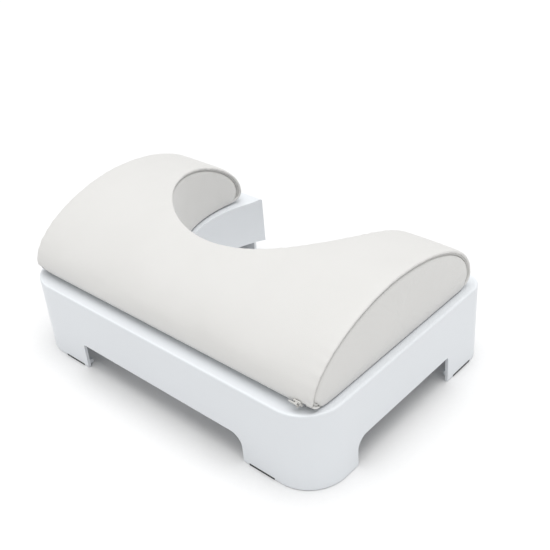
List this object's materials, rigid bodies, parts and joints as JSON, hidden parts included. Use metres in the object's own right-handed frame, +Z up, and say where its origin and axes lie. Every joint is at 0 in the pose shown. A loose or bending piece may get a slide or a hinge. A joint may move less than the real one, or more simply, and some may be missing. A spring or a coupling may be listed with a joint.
{
  "type": "bolster pillow",
  "caption": "Half-round head and neck bolster with a C-shaped cut-out, lifting off a moulded plastic stand with a shallow dish and corner legs.",
  "frame": {"origin": "centre of the bounding box's lower face, on the floor under the middle of the stand", "axes": "+X along the bolster, from one end to the other; +Y from the closed front to the cut-out side (the rear); +Z up"},
  "size_m": [0.42, 0.283, 0.1696],
  "materials": {
    "stand_plastic": "satin injection-moulded plastic",
    "foot_rubber": "matt moulded rubber",
    "cover_cloth": "soft fine-grained coated cloth",
    "liner_cloth": "thin woven liner",
    "firm_foam": "open-cell foam",
    "soft_foam": "open-cell foam",
    "zip_tape": "woven tape",
    "zip_nylon": "moulded nylon",
    "zip_zinc": "dark plated zinc",
    "zip_enamel": "zinc slider and pull enamelled to match the cover"
  },
  "bodies": {
    "stand": {"stand_shell": "stand_plastic", "foot_pad_front_left": "foot_rubber", "foot_pad_front_right": "foot_rubber", "foot_pad_back_left": "foot_rubber", "foot_pad_back_right": "foot_rubber"},
    "pillow": {"cover_top_panel": "cover_cloth", "cover_bottom_panel": "cover_cloth", "cover_end_panel_left": "cover_cloth", "cover_end_panel_right": "cover_cloth", "cover_cutout_panel": "cover_cloth", "seam_welt_left": "cover_cloth", "seam_welt_right": "cover_cloth", "seam_welt_cutout": "cover_cloth", "zip_tape_upper": "zip_tape", "zip_tape_lower": "zip_tape", "zip_coil_upper": "zip_nylon", "zip_coil_lower": "zip_nylon", "zip_stop_start": "zip_zinc", "zip_stop_end": "zip_zinc", "inner_liner": "liner_cloth", "comfort_layer": "soft_foam", "foam_core": "firm_foam"},
    "slider": {"zip_slider": "zip_enamel"},
    "pull": {"zip_pull_tab": "zip_enamel"}
  },
  "joints": [
    {"name": "pillow_lift", "type": "slide", "parent": "stand", "child": "pillow", "axis": [0, 0, 1], "range_m": [0, 0.075]},
    {"name": "zip_slide", "type": "slide", "parent": "pillow", "child": "slider", "axis": [-1, 0, 0], "range_m": [0, 0.368]},
    {"name": "zip_pull_swing", "type": "hinge", "parent": "slider", "child": "pull", "pos_m": [0.1843, -0.13024, 0.09937], "axis": [0, -0.3422, 0.9396], "range_deg": [0, 178]}
  ]
}
